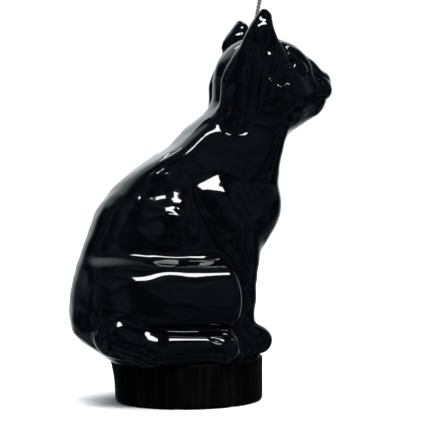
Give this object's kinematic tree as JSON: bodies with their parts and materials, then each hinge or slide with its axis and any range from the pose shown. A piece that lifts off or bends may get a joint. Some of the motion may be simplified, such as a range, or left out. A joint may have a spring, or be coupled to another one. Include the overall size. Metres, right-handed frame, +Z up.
{
  "type": "cat figure candle",
  "caption": "Seated cat figure candle: a glossy black dipped wax cat on a matt oval wax plinth, with a cotton wick that leaves the crown between the ears.",
  "frame": {"origin": "middle of the plinth's underside, where the candle stands", "axes": "+X the way the cat faces, +Y its left side, +Z up"},
  "size_m": [0.1102, 0.0612, 0.1678],
  "materials": {
    "gloss_dip": "high gloss black dip",
    "body_wax": "cast black wax, hidden under the dip",
    "plinth_wax": "bare cast wax, matt, with upright scrape marks",
    "cotton": "waxed plaited cotton",
    "tinplate": "rolled tinplate"
  },
  "bodies": {
    "root": {"gloss_coat": "gloss_dip", "wax_body": "body_wax", "plinth": "plinth_wax", "wick": "cotton", "wick_sustainer": "tinplate"}
  },
  "joints": []
}
